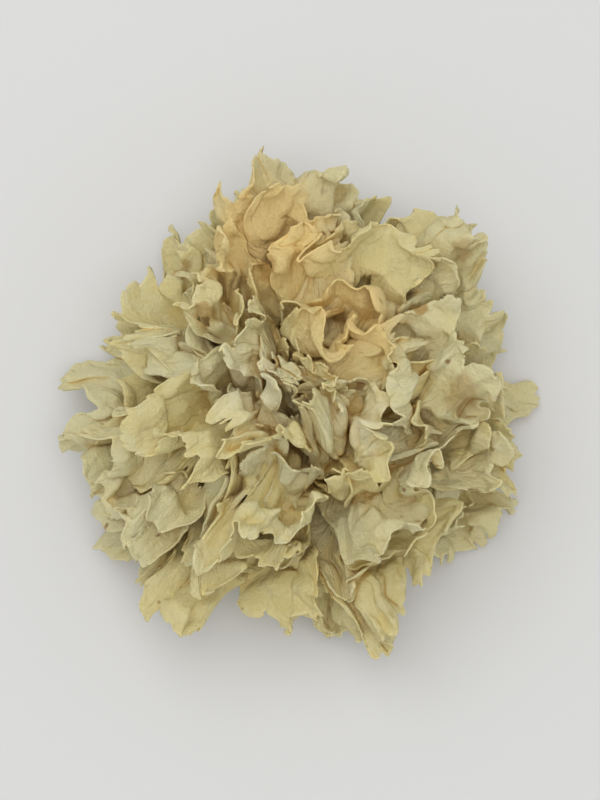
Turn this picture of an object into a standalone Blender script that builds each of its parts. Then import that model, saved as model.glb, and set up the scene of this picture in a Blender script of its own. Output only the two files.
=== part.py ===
"""A dried snow fungus: one wild-grown rosette of thin ruffled lobes, its root cut off flat so that it
rests on the cut. The lobes are split from the root at their main forks, in five tiers."""

import math

import bmesh
import bpy
import numpy as np
from mathutils import Vector

# Driving sizes, in metres. The heart is the point that every lobe grows out from.
HEAD_RADIUS = 0.0520
HEART_HEIGHT = 0.0085
ROOT_RADIUS = 0.0140
FORK_GAP = 0.0009
SHEET_THICKNESS = 0.0008
FLOOR_CLEARANCE = 0.0006

# A tier of lobes: name, lobes, first azimuth, elevation, half width, slant, reach, ruffles.
# Angles are in degrees, seen from the heart, and reach is a share of the head's radius.
TIERS = (
    ("skirt_lobe", 7, 18, 6.5, 26.5, 15, 1.02, 2.5),
    ("outer_lobe", 7, 44, 25.2, 24.0, 13, 1.07, 2.1),
    ("middle_lobe", 6, 10, 45.0, 20.5, 13, 0.98, 1.8),
    ("inner_lobe", 4, 55, 64, 19, 12, 0.90, 1.7),
    ("crown_lobe", 2, 20, 80.5, 13.5, 12, 0.86, 1.6),
)

# No two lobes of a tier are alike: each of these wanders from the tier's own value. A lobe's seed is
# made from its tier and its number in it.
AZIMUTH_SCATTER, ELEVATION_SCATTER = 2, 0.5
REACH_SHARES, RUFFLE_SHARES = (0.96, 1.05), (0.85, 1.15)
SEEDS_PER_TIER, PLACE_SEED = 100, 500

# A lobe's outline: a narrow foot that reaches full width at a share of the way out, round shoulders,
# and bays in the rim, each row of them with its depth and its frequency across the lobe.
FOOT_HALF_WIDTH = 10
FULL_WIDTH_AT = 0.7
SHOULDER_DEPTH, SHOULDER_POWER = 0.26, 6
RIM_BAYS = ((0.09, 5.0), (0.06, 11.0))
BAY_SHARPNESS = 4

# Ruffles stand up from the lobe's face, higher towards the rim and lower at the lobe's two edges. They
# sway from side to side by a share of their height, so that they lean over their own feet. Their
# height swells and their spacing drifts across the lobe, and small frills ride on them near the rim.
RUFFLE_HEIGHT = 0.0042
RUFFLE_GROWTH = 1.3
RUFFLE_SWAY, RUFFLE_LEAN = 0.36, 0.9
RUFFLE_DRIFT, DRIFT_FREQUENCY = 1.2, 2.4
RUFFLE_SWELL, SWELL_FREQUENCY = 0.28, 3.1
EDGE_CALM, CALM_POWER = 0.75, 4
FRILL_SHARE, FRILLS_PER_RUFFLE, FRILL_STARTS, FRILL_FULL = 0.18, 2.9, 0.35, 0.85
TYPICAL_HALF_WIDTH = 27
STEEPEST_BOW = 63

# How the whole head sags as it dries, and how far its growth wanders from a regular rosette.
DROOP = 0.0070
BEND_WAVELENGTH, BEND, BEND_SEED = 0.044, 0.0036, 11
CRUMPLE_WAVELENGTH, CRUMPLE, CRUMPLE_SEED = 0.017, 0.0011, 12
WAVES_SUMMED, WAVELENGTH_SHARES = 6, (0.8, 1.3)
STUB_BEND, BEND_STARTS, BEND_FULL = 0.35, 0.0112, 0.0392
LOW_HEIGHT = 0.012
FLOOR_SOFTNESS = 0.0009

# Each sheet is worked out on this grid, and then thinned to about this many faces.
COLUMNS, ROWS = 120, 30
SHEET_FACES = 138
STUB_SEGMENTS, STUB_RINGS = 24, 14


def new_collection(name):
    collection = bpy.data.collections.new(name)
    bpy.context.scene.collection.children.link(collection)
    return collection


def material(name, colour, roughness):
    made = bpy.data.materials.new(name)
    made.use_nodes = True
    shader = made.node_tree.nodes["Principled BSDF"]
    shader.inputs["Base Color"].default_value = (*colour, 1)
    shader.inputs["Roughness"].default_value = roughness
    shader.inputs["Metallic"].default_value = 0
    return made


def unit(vectors):
    return vectors / np.linalg.norm(vectors, axis=-1, keepdims=True)


def ramp(value, low, high):
    """0 up to low, 1 from high on, and a smooth rise between them."""
    share = np.clip((value - low) / (high - low), 0, 1)
    return share * share * (3 - 2 * share)


def wandering(points, wavelength, seed):
    """Three smooth random numbers for each point: a few plane waves crossing in random directions."""
    draw = np.random.RandomState(seed)
    total = np.zeros_like(points)
    for _ in range(WAVES_SUMMED):
        direction = unit(draw.normal(size=3))
        phase = draw.uniform(0, 2 * math.pi, 3)
        length = wavelength * draw.uniform(*WAVELENGTH_SHARES)
        along = points @ direction * (2 * math.pi / length)
        total += np.sin(along[..., None] + phase)
    return total / math.sqrt(WAVES_SUMMED)


def grown(points):
    """The even rosette turned into the real head: bent, crumpled, and sagging towards its rim."""
    reach = np.linalg.norm(points - (0, 0, HEART_HEIGHT), axis=-1, keepdims=True)
    loose = STUB_BEND + (1 - STUB_BEND) * ramp(reach, BEND_STARTS, BEND_FULL)
    moved = points + BEND * loose * wandering(points, BEND_WAVELENGTH, BEND_SEED)
    moved += CRUMPLE * loose * wandering(points, CRUMPLE_WAVELENGTH, CRUMPLE_SEED)
    height = points[..., 2]
    raised = ramp(height, 0, LOW_HEIGHT)
    out = np.hypot(points[..., 0], points[..., 1]) / HEAD_RADIUS
    moved[..., 2] = height + raised * (moved[..., 2] - height - DROOP * out**2)
    return moved


def off_the_floor(points):
    """Lobes that would reach under the floor flatten along it, as they do where the head lay to dry."""
    lifted = points.copy()
    over = points[..., 2] - FLOOR_CLEARANCE - SHEET_THICKNESS / 2
    lifted[..., 2] += (np.sqrt(over**2 + 4 * FLOOR_SOFTNESS**2) - over) / 2
    return lifted


def lobe_points(across, out, azimuth, elevation, half_width, slant, reach, ruffles, seed):
    """Points of a lobe's mid-surface: across it from edge to edge, -1 to 1, and out it, 0 to 1."""
    draw = np.random.RandomState(seed)
    azimuth, elevation, slant = (math.radians(angle) for angle in (azimuth, elevation, slant))

    # The lobe's own directions from the heart: along it, across it, and through its face.
    along = np.array((math.cos(azimuth) * math.cos(elevation),
                      math.sin(azimuth) * math.cos(elevation), math.sin(elevation)))
    level = np.array((-math.sin(azimuth), math.cos(azimuth), 0))
    rise = np.cross(along, level)
    side = math.cos(slant) * level + math.sin(slant) * rise
    face = np.cross(side, along)

    rim = 1 - SHOULDER_DEPTH * np.abs(across) ** SHOULDER_POWER
    for depth, frequency in RIM_BAYS:
        bay = 0.5 + 0.5 * np.sin(frequency * across + draw.uniform(0, 2 * math.pi))
        rim -= depth * bay**BAY_SHARPNESS
    foot = ROOT_RADIUS + FORK_GAP
    distance = foot + (reach * rim - foot) * out

    phase = draw.uniform(0, 2 * math.pi, 4)
    wind = math.pi * ruffles * across + phase[0] + RUFFLE_LEAN * out
    wind += RUFFLE_DRIFT * np.sin(DRIFT_FREQUENCY * across + phase[1])
    swell = 1 + RUFFLE_SWELL * np.sin(SWELL_FREQUENCY * across + phase[2])
    calm = 1 - EDGE_CALM * across**CALM_POWER
    height = RUFFLE_HEIGHT * half_width / TYPICAL_HALF_WIDTH * out**RUFFLE_GROWTH * swell * calm
    frill = FRILL_SHARE * height * ramp(out, FRILL_STARTS, FRILL_FULL)
    frill_wind = FRILLS_PER_RUFFLE * wind + phase[3]
    off_face = height * np.sin(wind) + frill * np.sin(frill_wind)
    sideways = -RUFFLE_SWAY * height * np.sin(2 * wind) - frill / 2 * np.sin(2 * frill_wind)

    spread = FOOT_HALF_WIDTH + (half_width - FOOT_HALF_WIDTH) * ramp(out, 0, FULL_WIDTH_AT)
    turn = np.radians(spread) * across + sideways / distance
    # A tier keeps its elevation all the way round, so its lobes bow where a straight one would dip.
    bow = math.tan(min(elevation, math.radians(STEEPEST_BOW))) / 2
    tilt = off_face / distance - bow * turn**2
    flat = np.cos(turn)[..., None] * along + np.sin(turn)[..., None] * side
    direction = np.cos(tilt)[..., None] * flat + np.sin(tilt)[..., None] * face
    return off_the_floor(grown((0, 0, HEART_HEIGHT) + direction * distance[..., None]))


def lobe(name, finish, collection, **form):
    """A lobe as a thin wall: a grid bent to the lobe's points, thinned where it is plain, then walled."""
    mesh = bpy.data.meshes.new(name)
    shape = bmesh.new()
    bmesh.ops.create_grid(shape, x_segments=COLUMNS, y_segments=ROWS, size=1)
    flat = np.array([vert.co for vert in shape.verts])
    bent = lobe_points(across=flat[:, 0], out=(flat[:, 1] + 1) / 2, **form)
    for vert, point in zip(shape.verts, bent):
        vert.co = Vector(point)
    shape.to_mesh(mesh)
    shape.free()
    sheet = bpy.data.objects.new(name, mesh)
    sheet.data.materials.append(finish)
    collection.objects.link(sheet)
    thin = sheet.modifiers.new("Thin", "DECIMATE")
    thin.ratio = SHEET_FACES / (2 * COLUMNS * ROWS)
    wall = sheet.modifiers.new("Wall", "SOLIDIFY")
    wall.thickness = SHEET_THICKNESS
    wall.offset = 0
    return sheet


def root_stub(finish, collection):
    """The root's stub: a lumpy ball that the lobes grow from, cut flat where it left the wood."""
    mesh = bpy.data.meshes.new("root_stub")
    shape = bmesh.new()
    bmesh.ops.create_uvsphere(shape, u_segments=STUB_SEGMENTS, v_segments=STUB_RINGS,
                              radius=ROOT_RADIUS)
    bmesh.ops.translate(shape, verts=shape.verts, vec=(0, 0, HEART_HEIGHT))
    everything = shape.verts[:] + shape.edges[:] + shape.faces[:]
    bmesh.ops.bisect_plane(shape, geom=everything, plane_co=(0, 0, 0), plane_no=(0, 0, -1),
                           clear_outer=True)
    rim = [edge for edge in shape.edges if edge.is_boundary]
    bmesh.ops.contextual_create(shape, geom=rim)
    moved = grown(np.array([vert.co for vert in shape.verts]))
    for vert, point in zip(shape.verts, moved):
        vert.co = Vector(point)
    bmesh.ops.recalc_face_normals(shape, faces=shape.faces)
    shape.to_mesh(mesh)
    shape.free()
    stub = bpy.data.objects.new("root_stub", mesh)
    stub.data.materials.append(finish)
    collection.objects.link(stub)
    return stub


def main():
    for old in list(bpy.data.objects):
        bpy.data.objects.remove(old)
    head = new_collection("dried_snow_fungus")
    root_finish = material("dried_root", (0.55, 0.36, 0.13), 0.7)
    lobe_finish = material("dried_lobe", (0.72, 0.62, 0.36), 0.5)
    root_stub(root_finish, head)
    for tier, entry in enumerate(TIERS):
        name, count, first, elevation, half_width, slant, reach, ruffles = entry
        for number in range(count):
            seed = SEEDS_PER_TIER * tier + number
            draw = np.random.RandomState(PLACE_SEED + seed)
            lobe(
                f"{name}_{number + 1}", lobe_finish, head,
                azimuth=first + 360 / count * number + AZIMUTH_SCATTER * draw.uniform(-1, 1),
                elevation=elevation + ELEVATION_SCATTER * draw.uniform(-1, 1),
                half_width=half_width,
                slant=slant,
                reach=HEAD_RADIUS * reach * draw.uniform(*REACH_SHARES),
                ruffles=ruffles * draw.uniform(*RUFFLE_SHARES),
                seed=seed,
            )


main()
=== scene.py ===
"""The looks of a dried snow fungus head: a cream rosette of thin ruffled lobes on an amber root stub."""

import math

import bmesh
import bpy
import numpy as np
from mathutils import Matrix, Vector


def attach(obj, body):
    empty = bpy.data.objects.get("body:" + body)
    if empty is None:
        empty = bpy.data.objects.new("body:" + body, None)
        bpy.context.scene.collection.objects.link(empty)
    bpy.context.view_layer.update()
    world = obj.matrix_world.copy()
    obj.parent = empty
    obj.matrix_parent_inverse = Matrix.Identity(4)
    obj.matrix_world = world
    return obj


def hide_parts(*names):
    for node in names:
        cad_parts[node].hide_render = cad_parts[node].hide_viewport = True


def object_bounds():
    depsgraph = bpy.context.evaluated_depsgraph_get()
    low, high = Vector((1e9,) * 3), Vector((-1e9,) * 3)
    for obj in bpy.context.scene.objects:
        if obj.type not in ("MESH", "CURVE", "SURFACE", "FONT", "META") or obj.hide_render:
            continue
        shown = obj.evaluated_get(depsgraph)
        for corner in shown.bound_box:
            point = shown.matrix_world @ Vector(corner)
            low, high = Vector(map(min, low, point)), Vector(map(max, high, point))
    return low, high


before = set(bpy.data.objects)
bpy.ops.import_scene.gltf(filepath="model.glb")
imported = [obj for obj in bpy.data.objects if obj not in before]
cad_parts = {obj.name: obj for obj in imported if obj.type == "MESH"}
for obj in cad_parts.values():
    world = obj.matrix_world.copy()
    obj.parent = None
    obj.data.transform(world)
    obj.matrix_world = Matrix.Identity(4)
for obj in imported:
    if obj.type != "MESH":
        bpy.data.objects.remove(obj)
solid_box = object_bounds()

# The root stub: the hard amber knot that the whole head grew from. It was cut off its log with a knife,
# so its underside is a flat spongy face, and dried crusts of lobe tissue cover the rest of it.
# Lengths are in metres and angles in degrees, here and below.
HEART = np.array((0, 0, 0.0085))
HEAD_RADIUS = 0.0520
ROOT_RADIUS = 0.0140
FLOOR_CLEARANCE = 0.0006
DROOP = 0.0070
BEND_WAVELENGTH, BEND, BEND_SEED = 0.044, 0.0036, 11
CRUMPLE_WAVELENGTH, CRUMPLE, CRUMPLE_SEED = 0.017, 0.0011, 12
WAVES_SUMMED, WAVELENGTH_SHARES = 6, (0.8, 1.3)
STUB_BEND, BEND_STARTS, BEND_FULL = 0.35, 0.0112, 0.0392
LOW_HEIGHT = 0.012


def ramp(value, low, high):
    """0 up to low, 1 from high on, and a smooth rise between them."""
    share = np.clip((value - low) / (high - low), 0, 1)
    return share * share * (3 - 2 * share)


def wandering(points, wavelength, seed, waves=WAVES_SUMMED):
    """Three smooth random numbers for each point: a few plane waves crossing in random directions."""
    draw = np.random.RandomState(seed)
    total = np.zeros_like(points)
    for _ in range(waves):
        direction = draw.normal(size=3)
        direction /= np.linalg.norm(direction)
        phase = draw.uniform(0, 2 * math.pi, 3)
        length = wavelength * draw.uniform(*WAVELENGTH_SHARES)
        along = points @ direction * (2 * math.pi / length)
        total += np.sin(along[..., None] + phase)
    return total / math.sqrt(waves)


def grown(points):
    """The even rosette turned into the real head: bent, crumpled, and sagging towards its rim."""
    reach = np.linalg.norm(points - HEART, axis=-1, keepdims=True)
    loose = STUB_BEND + (1 - STUB_BEND) * ramp(reach, BEND_STARTS, BEND_FULL)
    moved = points + BEND * loose * wandering(points, BEND_WAVELENGTH, BEND_SEED)
    moved += CRUMPLE * loose * wandering(points, CRUMPLE_WAVELENGTH, CRUMPLE_SEED)
    height = points[..., 2]
    raised = ramp(height, 0, LOW_HEIGHT)
    out = np.hypot(points[..., 0], points[..., 1]) / HEAD_RADIUS
    moved[..., 2] = height + raised * (moved[..., 2] - height - DROOP * out**2)
    return moved


class Value:
    """A shader socket that can be used in sums, which add their Math nodes."""

    def __init__(self, socket):
        self.socket = socket

    def joined(self, operation, *values):
        """These values, or links, put through one Math node."""
        return add_node(self.socket.id_data, "ShaderNodeMath", {"operation": operation},
                        dict(enumerate(values)))

    def __add__(self, other):
        return self.joined("ADD", self, other)

    def __radd__(self, other):
        return self.joined("ADD", other, self)

    def __sub__(self, other):
        return self.joined("SUBTRACT", self, other)

    def __rsub__(self, other):
        return self.joined("SUBTRACT", other, self)

    def __mul__(self, other):
        return self.joined("MULTIPLY", self, other)

    def __rmul__(self, other):
        return self.joined("MULTIPLY", other, self)

    def clipped(self):
        """The value held between 0 and 1."""
        return self.joined("MINIMUM", self.joined("MAXIMUM", self, 0), 1)


def add_node(tree, kind, settings, sockets, output=0):
    """Adds a node: its settings first, then the values or links of its sockets. It gives one output."""
    node = tree.nodes.new(kind)
    for name, setting in settings.items():
        setattr(node, name, setting)
    for name, given in sockets.items():
        if isinstance(given, Value):
            tree.links.new(given.socket, node.inputs[name])
        else:
            node.inputs[name].default_value = given
    return Value(node.outputs[output])


class Finish:
    """A material being made, on its Principled shader."""

    def __init__(self, name, **constants):
        self.material = bpy.data.materials.new(name)
        self.material.use_nodes = True
        self.tree = self.material.node_tree
        self.shader = self.tree.nodes["Principled BSDF"]
        for socket, constant in constants.items():
            self.shader.inputs[socket.replace("_", " ")].default_value = constant
        self.place = self.node("ShaderNodeTexCoord", {}, {}, output="Object")

    def node(self, kind, settings, sockets, output=0):
        """Adds a node to this material."""
        return add_node(self.tree, kind, settings, sockets, output)

    def link(self, **sockets):
        """Feeds sockets of the Principled shader."""
        for socket, value in sockets.items():
            self.tree.links.new(value.socket, self.shader.inputs[socket.replace("_", " ")])

    def noise(self, size, detail=3, roughness=0.5, distortion=0.0, place=None):
        """Cloudy noise from 0 to 1, with lumps of this size."""
        return self.node("ShaderNodeTexNoise", {"normalize": True},
                         {"Vector": place or self.place, "Scale": 1 / size, "Detail": detail,
                          "Roughness": roughness, "Distortion": distortion})

    def stepped(self, value, low, high):
        """0 where the value is under low, 1 over high, and a smooth rise between them."""
        return self.node("ShaderNodeMapRange", {"interpolation_type": "SMOOTHSTEP"},
                         {"Value": value, "From Min": low, "From Max": high})

    def distance(self, centre, place=None):
        """How far a point of the surface is from this one, in metres."""
        offset = self.node("ShaderNodeVectorMath", {"operation": "SUBTRACT"},
                           {0: place or self.place, 1: tuple(centre)})
        return self.node("ShaderNodeVectorMath", {"operation": "LENGTH"}, {0: offset}, output="Value")

    def blend(self, share, first, second):
        """The first colour turned into the second by this share."""
        # A Mix node takes its two colours at inputs 6 and 7, and gives a colour at output 2.
        colours = {6: first, 7: second}
        colours = {slot: colour if isinstance(colour, Value) else (*colour, 1)
                   for slot, colour in colours.items()}
        return self.node("ShaderNodeMix", {"data_type": "RGBA"}, {0: share, **colours}, output=2)

    def attribute(self, name):
        """A number that each point of the mesh carries."""
        return self.node("ShaderNodeAttribute", {"attribute_name": name}, {}, output="Fac")

    def bump(self, height, depth):
        """The surface's normal over a relief this many metres deep."""
        return self.node("ShaderNodeBump", {}, {"Height": height, "Distance": depth}, output="Normal")


STUB_COLOUR, CRUST_COLOUR, PIT_SHADE_COLOUR = (0.46, 0.25, 0.075), (0.66, 0.47, 0.20), (0.16, 0.07, 0.02)
CLOUD_SIZE = 0.006
# The spongy stub's pits: their size, where they rise, and how strongly the painted shade in them darkens
# the colour.
PIT_SIZE, PIT_RISE, PIT_SHADE_SHARE = 0.0011, (0.42, 0.60), 0.7
CRUST_SIZE, CRUST_RISE, CRUST_SHARE = 0.0035, (0.45, 0.62), 0.55
TOP_COLOUR, TOP_RISE, TOP_SHARE = (0.78, 0.54, 0.20), (0.004, 0.012), 0.85
STUB_ROUGHNESS, PIT_ROUGHENS = 0.5, 0.3
STUB_RELIEF, CRUST_HEIGHT = 0.0005, 0.5
STUB_RINGS, STUB_SEGMENTS = 150, 220
STUB_LUMP, LUMP_DEPTH, LUMP_SEED = 0.0065, 0.0006, 31
SMALL_LUMP, SMALL_LUMP_SHARE, SMALL_LUMP_SEED = STUB_LUMP / 2.2, 0.5, 32
CUT_EDGE = 0.002

root_finish = Finish("dried_root", Subsurface_Weight=0.25, Subsurface_Scale=0.0015)
clouds = root_finish.noise(CLOUD_SIZE, detail=4)
pits = root_finish.noise(PIT_SIZE, detail=5, roughness=0.65)
pitted = root_finish.stepped(pits, *PIT_RISE)
crusts = root_finish.noise(CRUST_SIZE, detail=5, distortion=0.6)
crusted = root_finish.stepped(crusts, *CRUST_RISE)
height = root_finish.node("ShaderNodeSeparateXYZ", {}, {0: root_finish.place}, output="Z")
root_colour = root_finish.blend(clouds, STUB_COLOUR, CRUST_COLOUR)
root_colour = root_finish.blend(CRUST_SHARE * crusted, root_colour, CRUST_COLOUR)
# Painted shade: the bumped pits are darkened to a dark brown in the colour itself.
root_colour = root_finish.blend(PIT_SHADE_SHARE * (1 - pitted), root_colour, PIT_SHADE_COLOUR)
root_colour = root_finish.blend(TOP_SHARE * root_finish.stepped(height, *TOP_RISE), root_colour, TOP_COLOUR)
root_finish.link(Base_Color=root_colour, Roughness=STUB_ROUGHNESS + PIT_ROUGHENS * pits,
                 Normal=root_finish.bump(pitted + CRUST_HEIGHT * crusted, STUB_RELIEF))

shape = bmesh.new()
bmesh.ops.create_uvsphere(shape, u_segments=STUB_SEGMENTS, v_segments=STUB_RINGS, radius=ROOT_RADIUS)
bmesh.ops.translate(shape, verts=shape.verts, vec=HEART)
bmesh.ops.bisect_plane(shape, geom=shape.verts[:] + shape.edges[:] + shape.faces[:],
                       plane_co=(0, 0, 0), plane_no=(0, 0, -1), clear_outer=True)
bmesh.ops.contextual_create(shape, geom=[edge for edge in shape.edges if edge.is_boundary])
points = np.array([vert.co for vert in shape.verts])
outwards = (points - HEART) / np.linalg.norm(points - HEART, axis=-1, keepdims=True)
lump = wandering(points, STUB_LUMP, LUMP_SEED)[:, :1]
lump += SMALL_LUMP_SHARE * wandering(points, SMALL_LUMP, SMALL_LUMP_SEED)[:, :1]
points += outwards * (LUMP_DEPTH * lump - LUMP_DEPTH) * ramp(points[:, 2:], 0, CUT_EDGE)
for vert, point in zip(shape.verts, grown(points)):
    vert.co = Vector(point)
bmesh.ops.recalc_face_normals(shape, faces=shape.faces)
mesh = bpy.data.meshes.new("root_knot")
shape.to_mesh(mesh)
shape.free()
mesh.shade_smooth()
mesh.materials.append(root_finish.material)
stub = bpy.data.objects.new("root_knot", mesh)
bpy.context.scene.collection.objects.link(stub)
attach(stub, "root")
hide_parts("root_stub")

# The lobes: thin sheets of dried jelly that forked from the root while it grew, and shrank into ruffles
# as it dried. Each is thick and amber at its foot and thin as paper at its scalloped rim, and it carries
# shorter plies: some part from its upper face and stand by it, others fall open from its outer face.
FORK_GAP = 0.0009
# Each tier, from the lowest: its name, how many lobes it has, the first one's azimuth, their elevation,
# half width and slant, their reach in head radii, their ruffles, and their upper and outer plies.
LOBE_TIERS = (
    ("skirt_lobe", 7, 18, 6.5, 26.5, 15, 1.02, 2.5, 4, 0),
    ("outer_lobe", 7, 44, 25.2, 24.0, 13, 1.07, 2.1, 3, 1),
    ("middle_lobe", 6, 10, 45.0, 20.5, 13, 0.98, 1.8, 2, 2),
    ("inner_lobe", 4, 55, 64, 19, 12, 0.90, 1.7, 2, 3),
    ("crown_lobe", 2, 20, 80.5, 13.5, 12, 0.86, 1.6, 2, 4),
)
SEEDS_PER_TIER, PLACE_SEED = 100, 500
AZIMUTH_SCATTER, ELEVATION_SCATTER = 2, 0.5
REACH_SHARES, RUFFLE_SHARES = (0.96, 1.05), (0.85, 1.15)

# How a lobe's sheet grows: its width, the bays in its rim, its ruffles and frills, and its bow.
FOOT_HALF_WIDTH = 10
FULL_WIDTH_AT = 0.7
SHOULDER_DEPTH, SHOULDER_POWER = 0.26, 6
RIM_BAYS = ((0.09, 5.0), (0.06, 11.0))
BAY_SHARPNESS = 4
RUFFLE_HEIGHT = 0.0042
RUFFLE_GROWTH = 1.3
RUFFLE_SWAY, RUFFLE_LEAN = 0.36, 0.9
RUFFLE_DRIFT, DRIFT_FREQUENCY = 1.2, 2.4
RUFFLE_SWELL, SWELL_FREQUENCY = 0.28, 3.1
EDGE_CALM, CALM_POWER = 0.75, 4
FRILL_SHARE, FRILLS_PER_RUFFLE, FRILL_STARTS, FRILL_FULL = 0.18, 2.9, 0.35, 0.85
TYPICAL_HALF_WIDTH = 27
STEEPEST_BOW = 63
FLOOR_SOFTNESS = 0.0009
SHEET_HALF = 0.0004

# What makes a frond of a lobe: scallops, curls, crinkles, plies, torn holes and a thinning wall.
SCALLOPS, SCALLOP_SEED = ((0.055, 9.0), (0.050, 21.0), (0.034, 43.0), (0.013, 101.0)), 900
SCALLOP_DRIFT, DRIFT_LONGER = 1.5, 3.7
NOTCH_POWER, NOTCH_SWELL, SWELL_LONGER = 1.6, 0.6, 5.1
CURL_SHARE, CURLS_PER_RUFFLE, CURL_STARTS = 0.22, 5.3, 0.55
CRINKLES, CRINKLE_RISE = ((0.0080, 0.00085), (0.0044, 0.00040)), (0.1, 0.6)
CRINKLE_WAVES, CRINKLE_SEED = 18, 41
FOOT_SINKS = 0.0022
PLY_SEED, SEED_RANGE = 700, 1000
PLY_SPACING, PLY_SCATTER = 0.8, 0.2
PLY_FORKS, PLY_PARTS_BY, PARTING_POWER = (0.12, 0.34), 0.42, 0.6
PLY_HALF, STEEP_WIDENS, PLY_LENGTH = (0.46, 0.74), 0.5, (0.62, 0.95)
PLY_FOOT, PLY_WIDE_AT = 0.45, 0.6
PLY_TAPER, TAPER_POWER, PLY_SCALLOPS = 0.50, 3.0, 0.4
FIRST_LIFT, NEXT_LIFT, LIFT_SHARES = 4.9, 2.4, (0.9, 1.1)
PLY_CALM, PLY_TWIST, PLY_SWERVE, SWERVE_POWER = 0.065, 7, 0.5, 1.5
OUTER_FALL, UPPER_FALL, FALL_RISE = 44, 27, (0.42, 1.1)
PLY_STRAY, STRAY_WAVELENGTH = 0.0013, 0.019
MOST_HOLES, HOLE_RADIUS, HOLE_STRETCH = 4, (0.0005, 0.0011), 1.5
HOLES_OUT, HOLES_ACROSS = (0.35, 0.85), (0.25, 0.75)
CORNER_DEPTH, CORNER_POWER = 0.22, 7
LOBE_THICKNESS, RIM_THICKNESS, THICK_POWER, THICKNESS_STEPS = 0.0011, 0.00032, 1.5, 20
MAIN_GRID, PLY_GRID = (210, 72), (100, 54)
KEPT_FACES = 0.221


class Lobe:
    """A main lobe's growth: where a point of it lies, from how far across and how far out it is."""

    def __init__(self, azimuth, elevation, half_width, slant, reach, ruffles, seed):
        draw = np.random.RandomState(seed)
        azimuth, self.elevation, slant = (math.radians(angle) for angle in (azimuth, elevation, slant))
        self.along = np.array((math.cos(azimuth) * math.cos(self.elevation),
                               math.sin(azimuth) * math.cos(self.elevation), math.sin(self.elevation)))
        level = np.array((-math.sin(azimuth), math.cos(azimuth), 0))
        self.side = math.cos(slant) * level + math.sin(slant) * np.cross(self.along, level)
        self.face = np.cross(self.side, self.along)
        self.bay_phase = [draw.uniform(0, 2 * math.pi) for _ in RIM_BAYS]
        self.phase = draw.uniform(0, 2 * math.pi, 4)
        self.half_width, self.reach, self.ruffles, self.seed = half_width, reach, ruffles, seed

    def points(self, across, out, lift=0, ruffled=1):
        """Places on the lobe's mid-surface, or on a ply that parts from it by this many degrees."""
        sideness = np.clip(np.abs(across), 0, 1)
        rim = 1 - SHOULDER_DEPTH * sideness**SHOULDER_POWER
        for (depth, frequency), phase in zip(RIM_BAYS, self.bay_phase):
            bay = 0.5 + 0.5 * np.sin(frequency * across + phase)
            rim -= depth * bay**BAY_SHARPNESS
        foot = ROOT_RADIUS + FORK_GAP
        distance = foot + (self.reach * rim - foot) * out

        grown_out = np.clip(out, 0, None)
        wind = math.pi * self.ruffles * across + self.phase[0] + RUFFLE_LEAN * grown_out
        wind += RUFFLE_DRIFT * np.sin(DRIFT_FREQUENCY * across + self.phase[1])
        swell = 1 + RUFFLE_SWELL * np.sin(SWELL_FREQUENCY * across + self.phase[2])
        calm = 1 - EDGE_CALM * sideness**CALM_POWER
        height = ruffled * RUFFLE_HEIGHT * self.half_width / TYPICAL_HALF_WIDTH * swell * calm
        height = height * grown_out**RUFFLE_GROWTH
        frill = FRILL_SHARE * height * ramp(out, FRILL_STARTS, FRILL_FULL)
        frill_wind = FRILLS_PER_RUFFLE * wind + self.phase[3]
        off_face = height * np.sin(wind) + frill * np.sin(frill_wind)
        sideways = -RUFFLE_SWAY * height * np.sin(2 * wind) - frill / 2 * np.sin(2 * frill_wind)
        curl = CURL_SHARE * height * ramp(out, CURL_STARTS, 1)
        curl_wind = CURLS_PER_RUFFLE * wind + lift
        off_face += curl * np.sin(curl_wind)
        sideways -= curl / 2 * np.sin(2 * curl_wind)

        spread = FOOT_HALF_WIDTH + (self.half_width - FOOT_HALF_WIDTH) * ramp(out, 0, FULL_WIDTH_AT)
        turn = np.radians(spread) * across + sideways / distance
        bow = math.tan(min(self.elevation, math.radians(STEEPEST_BOW))) / 2
        tilt = off_face / distance - bow * turn**2 - np.radians(lift)
        flat = np.cos(turn)[..., None] * self.along + np.sin(turn)[..., None] * self.side
        direction = np.cos(tilt)[..., None] * flat + np.sin(tilt)[..., None] * self.face
        return HEART + direction * distance[..., None]


def off_the_floor(points):
    """Lobes that would reach under the floor flatten along it, as they do where the head lay to dry."""
    lifted = points.copy()
    over = points[..., 2] - FLOOR_CLEARANCE - SHEET_HALF
    lifted[..., 2] += (np.sqrt(over**2 + 4 * FLOOR_SOFTNESS**2) - over) / 2
    return lifted


def scalloped(across, seed):
    """The small scallops of a rim, as a share to leave of how far out it reaches."""
    draw = np.random.RandomState(SCALLOP_SEED + seed)
    left = np.ones_like(across)
    for depth, frequency in SCALLOPS:
        wind = frequency * across + SCALLOP_DRIFT * np.sin(frequency / DRIFT_LONGER * across)
        wind += draw.uniform(0, 2 * math.pi)
        notch = 1 - np.abs(np.sin(wind / 2))
        swell = 1 + NOTCH_SWELL * np.sin(frequency / SWELL_LONGER * across)
        left -= depth * notch**NOTCH_POWER * swell
    return left


def length_along(line):
    """How far along a line of points each of them is."""
    return np.linalg.norm(np.diff(line, axis=0, prepend=line[:1]), axis=1).cumsum()


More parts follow.
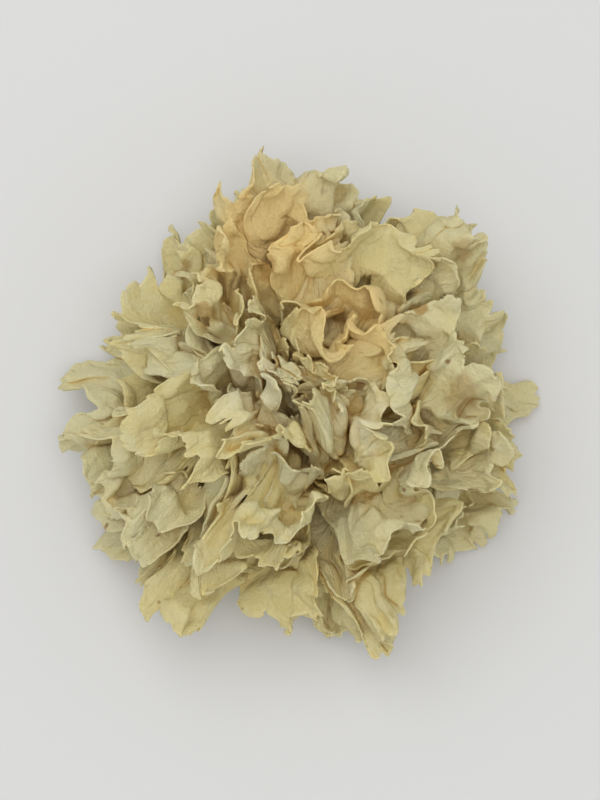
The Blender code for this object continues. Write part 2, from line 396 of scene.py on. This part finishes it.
class Frond:
    """The mesh of a lobe and its plies: grids in one bmesh, and the places and shades of their points."""

    def __init__(self, name):
        self.name = name
        self.shape = bmesh.new()
        self.points, self.shades, self.holes = [], [], []

    def add_sheet(self, grid, place, draw):
        """Adds a grid, with place() giving its points and how far out they are."""
        made = bmesh.ops.create_grid(self.shape, x_segments=grid[0], y_segments=grid[1], size=1)
        square = np.array([vert.co for vert in made["verts"]])
        across = square[:, 0]
        points, out = place(across, (square[:, 1] + 1) / 2)
        self.holes.append(self.torn(points.reshape(grid[1] + 1, grid[0] + 1, 3), draw))
        for wavelength, depth in CRINKLES:
            moved = wandering(points, wavelength, CRINKLE_SEED, CRINKLE_WAVES)
            points += depth * ramp(out, *CRINKLE_RISE)[:, None] * moved
        self.points.append(off_the_floor(grown(points)))
        tint = np.full_like(out, draw.uniform())
        self.shades.append(np.stack((np.clip(1 - out, 0, 1) ** THICK_POWER, out, tint, across)))

    def torn(self, rows, draw):
        """Which points lie inside the few small holes that opened where the sheet tore as it dried."""
        inside = np.zeros(rows.shape[:2], bool)
        holes = draw.randint(MOST_HOLES)
        for number in range(holes):
            row = int(rows.shape[0] * draw.uniform(*HOLES_OUT))
            column = int(rows.shape[1] * (number + draw.uniform(*HOLES_ACROSS)) / holes)
            beside = length_along(rows[row])
            beside -= beside[column]
            along = length_along(rows[:, column])
            along -= along[row]
            inside |= np.hypot(beside[None, :], along[:, None] / HOLE_STRETCH) < draw.uniform(*HOLE_RADIUS)
        return inside.ravel()

    def mesh(self):
        """The finished mesh, which carries its shades as attributes."""
        inside = np.concatenate(self.holes)
        self.shape.verts.ensure_lookup_table()
        doomed = [self.shape.verts[index] for index in np.flatnonzero(inside)]
        bmesh.ops.delete(self.shape, geom=doomed, context="VERTS")
        mesh = bpy.data.meshes.new(self.name)
        self.shape.to_mesh(mesh)
        self.shape.free()
        mesh.vertices.foreach_set("co", np.concatenate(self.points)[~inside].ravel())
        shades = np.concatenate(self.shades, axis=1)[:, ~inside]
        for name, values in zip(("thick", "rim", "tint", "across"), shades):
            attribute = mesh.attributes.new(name, "FLOAT", "POINT")
            attribute.data.foreach_set("value", np.ascontiguousarray(values))
        mesh.update()
        mesh.shade_smooth()
        return mesh


def lobe_mesh(name, lobe, upper_plies, outer_plies):
    """A lobe's own sheet, and the plies that part from its two faces."""
    frond = Frond(name)
    sink = FOOT_SINKS / (lobe.reach - ROOT_RADIUS)
    draw = np.random.RandomState(PLY_SEED + lobe.seed)

    def main(across, up):
        rim = scalloped(across, lobe.seed) - CORNER_DEPTH * np.abs(across) ** CORNER_POWER
        out = -sink + (rim + sink) * up
        return lobe.points(across, out), out

    frond.add_sheet(MAIN_GRID, main, draw)
    steepness = math.sin(lobe.elevation) ** 2
    faces = ((1, UPPER_FALL * steepness, upper_plies), (-1, OUTER_FALL * steepness, outer_plies))
    for way, falls, plies in faces:
        for number, layer in enumerate(draw.permutation(plies)):
            centre = (2 * number + 1) / plies - 1 + draw.uniform(-PLY_SCATTER, PLY_SCATTER)
            half, length = draw.uniform(*PLY_HALF), draw.uniform(*PLY_LENGTH)
            half *= 1 + STEEP_WIDENS * steepness
            lift = (FIRST_LIFT + NEXT_LIFT * layer) * draw.uniform(*LIFT_SHARES)
            forks, twist = draw.uniform(*PLY_FORKS), PLY_TWIST * draw.uniform(-1, 1)
            swerve = PLY_SWERVE * draw.uniform(-1, 1)
            seed = draw.randint(SEED_RANGE)

            def ply(across, up):
                top = length * (1 - PLY_TAPER * np.abs(across) ** TAPER_POWER)
                top *= scalloped(PLY_SCALLOPS * across, seed)
                out = forks + (top - forks) * up
                width = PLY_FOOT + (1 - PLY_FOOT) * ramp(up, 0, PLY_WIDE_AT)
                over = PLY_SPACING * centre + half * across * width
                over += swerve * np.clip(out - forks, 0, 1) ** SWERVE_POWER
                parted = np.clip((out - forks) / PLY_PARTS_BY, 0, 1) ** PARTING_POWER
                parted = way * (parted * (lift + twist * across) + falls * ramp(out, *FALL_RISE))
                points = lobe.points(over, out, parted, 1 - PLY_CALM * lift)
                stray = PLY_STRAY * ramp(out, forks, forks + PLY_PARTS_BY)
                return points + stray[:, None] * wandering(points, STRAY_WAVELENGTH, seed), out

            frond.add_sheet(PLY_GRID, ply, draw)
    return frond.mesh()


CREAM, PALE, STRAW = (0.79, 0.72, 0.38), (0.77, 0.73, 0.45), (0.79, 0.68, 0.30)
APRICOT, AMBER, CREASE_SHADE_AMBER = (0.87, 0.65, 0.27), (0.79, 0.56, 0.20), (0.82, 0.55, 0.17)
SMOKED, PAINTED_LIGHT_PALE = (0.66, 0.57, 0.29), (0.85, 0.81, 0.57)
# The stains are this brown, and the painted crease shade turns to it in places.
STAIN_AND_SHADE_BROWN, RUST = (0.45, 0.27, 0.075), (0.26, 0.12, 0.03)
PATCH_SIZE, MOTTLE_SIZE, VEIN_SIZE = 0.014, 0.0035, 0.0013
TINT_SHARE, CREAM_RISE, STRAW_RISE = 0.3, (0.45, 0.80), (0.60, 0.95)
SMOKE_RISE, LEAST_SMOKE, MOTTLED_SMOKE = (0.030, 0.056), 0.15, 0.5
FOOT_RISE, LEAST_AMBER, MOTTLED_AMBER = (0.008, 0.032), 0.35, 0.8
# Amber low on each sheet, fading out towards its rim, how ragged and how strong it is: partly the sheets'
# real amber feet, partly painted shade in the pockets between the sheets.
SHELTER_RISE, SHELTER_RAGGED, SHELTER_SHARE = (0.30, 0.85), 0.5, 0.25
# The painted shade in creases and folds: how far the ambient occlusion looks for cover and with how many
# rays, where the shade rises, how ragged it is and how strongly it darkens the colour, and the patches
# where it turns brown.
CREASE_REACH, CREASE_SAMPLES = 0.006, 2
CREASE_RISE, CREASE_RAGGED, CREASE_SHADE_SHARE = (0.11, 0.58), 0.25, 0.8
BROWN_SIZE, BROWN_RISE = 0.009, (0.50, 0.60)
SPECK_SIZE, SPECK_RISE, SPECK_SHARE = 0.0045, (0.72, 0.78), 0.75
# The ripe apricot places, and the places of painted light that pale the shaded hollows in the middle of the
# head, each with its radius.
RIPE_PLACES = (((-0.008, 0.036, 0.036), 0.019), ((0.009, 0.018, 0.044), 0.017))
PAINTED_LIGHT_PLACES = (((-0.012, 0.001, 0.044), 0.014), ((0.011, -0.006, 0.044), 0.012))
RIPE_SHARE, PAINTED_LIGHT_SHARE = 0.9, 0.7
PLACE_EDGES, PLACE_RAGGED = (0.6, 1.5), 0.012
# Each brown stain: its place seen from above, its radius, and how strong it is.
STAINS = (
    (-0.0085, 0.0280, 0.0026, 0.85),
    (0.0067, 0.0174, 0.0024, 0.85),
    (0.0240, 0.0196, 0.0022, 0.85),
    (-0.0272, 0.0304, 0.0024, 0.75),
    (-0.0213, 0.0170, 0.0028, 0.75),
    (0.0325, 0.0005, 0.0044, 0.55),
    (0.0333, 0.0327, 0.0026, 0.50),
)
STAIN_EDGES, STAIN_RAGGED = (0.5, 1.1), 0.006
# The fine lines that fan out over a sheet: how many cross it, how often they break, how sheets differ.
FAN_LINES, FAN_BREAKS, FAN_DIFFERS = 16, 2, 20
LOBE_ROUGHNESS, MOTTLE_ROUGHENS = 0.42, 0.3
LOBE_RELIEF, MOTTLE_HEIGHT, FAN_HEIGHT = 0.0007, 0.8, 1.7

lobe_finish = Finish("dried_lobe", Subsurface_Weight=0.7, Subsurface_Scale=0.0006,
                     Subsurface_Radius=(1.0, 1.0, 1.0), Specular_IOR_Level=0.3)
lobe_finish.shader.subsurface_method = "BURLEY"
from_heart = lobe_finish.distance(HEART)
out_on_lobe = lobe_finish.attribute("rim")
tint = lobe_finish.attribute("tint")
patches = lobe_finish.noise(PATCH_SIZE, detail=3)
mottle = lobe_finish.noise(MOTTLE_SIZE, detail=5, roughness=0.6)
uneven = mottle - 0.5
veins = lobe_finish.noise(VEIN_SIZE, detail=4, roughness=0.7)


def within(distance, radius, edges):
    """1 where the distance is well under the radius, and 0 well over it: the edges are shares of it."""
    return 1 - lobe_finish.stepped(distance, edges[0] * radius, edges[1] * radius)


def near(places):
    """1 close to any of these places, fading unevenly to 0 around them."""
    nearness = None
    for centre, radius in places:
        close = within(lobe_finish.distance(centre) + PLACE_RAGGED * mottle, radius, PLACE_EDGES)
        nearness = close if nearness is None else nearness.joined("MAXIMUM", nearness, close)
    return nearness


creamy = lobe_finish.stepped(patches + TINT_SHARE * tint, *CREAM_RISE)
strawy = lobe_finish.stepped(mottle + TINT_SHARE * tint, *STRAW_RISE)
lobe_colour = lobe_finish.blend(creamy, PALE, CREAM)
lobe_colour = lobe_finish.blend(strawy, lobe_colour, STRAW)
smoked = lobe_finish.stepped(from_heart, *SMOKE_RISE)
lobe_colour = lobe_finish.blend(smoked * (LEAST_SMOKE + MOTTLED_SMOKE * mottle), lobe_colour, SMOKED)
lobe_colour = lobe_finish.blend(RIPE_SHARE * near(RIPE_PLACES), lobe_colour, APRICOT)
footed = 1 - lobe_finish.stepped(from_heart, *FOOT_RISE)
footed = (footed * (LEAST_AMBER + MOTTLED_AMBER * mottle)).clipped()
lobe_colour = lobe_finish.blend(footed, lobe_colour, AMBER)
# Amber low on each sheet, far below its rim: partly the sheets' real amber feet, partly painted shade in
# the pockets between the sheets.
foot_amber_and_shade = 1 - lobe_finish.stepped(out_on_lobe + SHELTER_RAGGED * uneven, *SHELTER_RISE)
lobe_colour = lobe_finish.blend(SHELTER_SHARE * foot_amber_and_shade, lobe_colour, AMBER)
# Painted light: a pale colour laid over the shaded hollows in the middle of the head.
lobe_colour = lobe_finish.blend(PAINTED_LIGHT_SHARE * near(PAINTED_LIGHT_PLACES), lobe_colour, PAINTED_LIGHT_PALE)

# Painted shade: creases and folds that the ambient occlusion finds sheltered are darkened in the colour
# itself, to deep amber, and to brown in some patches.
open_sky = lobe_finish.node("ShaderNodeAmbientOcclusion", {"samples": CREASE_SAMPLES},
                            {"Distance": CREASE_REACH}, output="AO")
painted_crease_shade = 1 - lobe_finish.stepped(open_sky + CREASE_RAGGED * uneven, *CREASE_RISE)
browner_crease_shade = lobe_finish.stepped(lobe_finish.noise(BROWN_SIZE, detail=2), *BROWN_RISE)
crease_shade_colour = lobe_finish.blend(browner_crease_shade, CREASE_SHADE_AMBER, STAIN_AND_SHADE_BROWN)
lobe_colour = lobe_finish.blend(CREASE_SHADE_SHARE * painted_crease_shade, lobe_colour, crease_shade_colour)
specks = lobe_finish.stepped(lobe_finish.noise(SPECK_SIZE, detail=2), *SPECK_RISE)
lobe_colour = lobe_finish.blend(SPECK_SHARE * specks, lobe_colour, RUST)
plan = lobe_finish.node("ShaderNodeVectorMath", {"operation": "MULTIPLY"},
                        {0: lobe_finish.place, 1: (1, 1, 0)})
for x, y, radius, strength in STAINS:
    from_stain = lobe_finish.distance((x, y, 0), plan) + STAIN_RAGGED * uneven
    stained = strength * within(from_stain, radius, STAIN_EDGES)
    lobe_colour = lobe_finish.blend(stained, lobe_colour, STAIN_AND_SHADE_BROWN)

fan_place = lobe_finish.node("ShaderNodeCombineXYZ", {}, {
    "X": FAN_LINES * lobe_finish.attribute("across"),
    "Y": FAN_BREAKS * out_on_lobe,
    "Z": FAN_DIFFERS * tint,
})
fan = lobe_finish.noise(1, detail=3, place=fan_place)
relief = lobe_finish.bump(veins + MOTTLE_HEIGHT * mottle + FAN_HEIGHT * fan, LOBE_RELIEF)
lobe_finish.link(Base_Color=lobe_colour, Roughness=LOBE_ROUGHNESS + MOTTLE_ROUGHENS * mottle, Normal=relief)

for tier, entry in enumerate(LOBE_TIERS):
    name, count, first, elevation, half_width, slant, reach, ruffles, upper_plies, outer_plies = entry
    for number in range(count):
        seed = SEEDS_PER_TIER * tier + number
        draw = np.random.RandomState(PLACE_SEED + seed)
        lobe = Lobe(
            azimuth=first + 360 / count * number + AZIMUTH_SCATTER * draw.uniform(-1, 1),
            elevation=elevation + ELEVATION_SCATTER * draw.uniform(-1, 1),
            half_width=half_width,
            slant=slant,
            reach=HEAD_RADIUS * reach * draw.uniform(*REACH_SHARES),
            ruffles=ruffles * draw.uniform(*RUFFLE_SHARES),
            seed=seed,
        )
        node = f"{name}_{number + 1}"
        mesh = lobe_mesh(f"{node}_frond", lobe, upper_plies, outer_plies)
        mesh.materials.append(lobe_finish.material)
        frond = bpy.data.objects.new(mesh.name, mesh)
        bpy.context.scene.collection.objects.link(frond)
        thickness = np.zeros(len(mesh.vertices), np.float32)
        mesh.attributes["thick"].data.foreach_get("value", thickness)
        group = frond.vertex_groups.new(name="thick")
        for step in range(THICKNESS_STEPS + 1):
            members = np.flatnonzero(np.round(thickness * THICKNESS_STEPS) == step)
            group.add(members.tolist(), step / THICKNESS_STEPS, "REPLACE")
        thin = frond.modifiers.new("Thin", "DECIMATE")
        thin.ratio = KEPT_FACES
        wall = frond.modifiers.new("Wall", "SOLIDIFY")
        wall.thickness = LOBE_THICKNESS
        wall.offset = 0
        wall.vertex_group = "thick"
        wall.thickness_vertex_group = RIM_THICKNESS / LOBE_THICKNESS
        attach(frond, "root")
        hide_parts(node)

# The plain pale table that the head lies on, wide enough to fill any view of it. Soft daylight comes from
# all sides and from a window above, with a weaker lamp across from it, and the camera looks down on it all.
TABLE_SIZE, TABLE_COLOUR = 12, (0.82, 0.82, 0.81, 1)
bpy.ops.mesh.primitive_plane_add(size=TABLE_SIZE)
table = bpy.context.object
table.name = "table"
table_finish = Finish("table", Roughness=0.8, Base_Color=TABLE_COLOUR)
table.data.materials.append(table_finish.material)

DAYLIGHT, WHITE = 0.57, (1, 1, 1, 1)
world = bpy.data.worlds.new("daylight")
world.use_nodes = True
sky = world.node_tree.nodes["Background"]
sky.inputs["Color"].default_value = WHITE
sky.inputs["Strength"].default_value = DAYLIGHT
bpy.context.scene.world = world

# Each lamp: its name, its place, its width and its power in watts.
LAMPS = (
    ("window", (-0.22, 0.28, 0.85), 0.7, 1.75),
    ("fill", (0.08, -0.14, 0.9), 0.5, 1.35),
)
for name, place, size, power in LAMPS:
    light = bpy.data.lights.new(name, "AREA")
    light.size, light.energy = size, power
    lamp = bpy.data.objects.new(name, light)
    lamp.location = place
    lamp.rotation_mode = "QUATERNION"
    lamp.rotation_quaternion = Vector(place).to_track_quat("Z", "Y")
    bpy.context.scene.collection.objects.link(lamp)

CAMERA_DISTANCE, CAMERA_ELEVATION = 0.62, 82
FRAMED_HEIGHT = 0.172
lens_view = bpy.data.cameras.new("camera")
camera = bpy.data.objects.new("camera", lens_view)
bpy.context.scene.collection.objects.link(camera)
centre = (solid_box[0] + solid_box[1]) / 2
tipped = math.radians(CAMERA_ELEVATION)
back = Vector((0, -math.cos(tipped), math.sin(tipped)))
camera.location = centre + back * CAMERA_DISTANCE
camera.rotation_mode = "QUATERNION"
camera.rotation_quaternion = (-back).to_track_quat("-Z", "Y")
lens_view.lens = lens_view.sensor_width * CAMERA_DISTANCE / FRAMED_HEIGHT
bpy.context.scene.camera = camera
bpy.context.scene.view_settings.view_transform = "Standard"
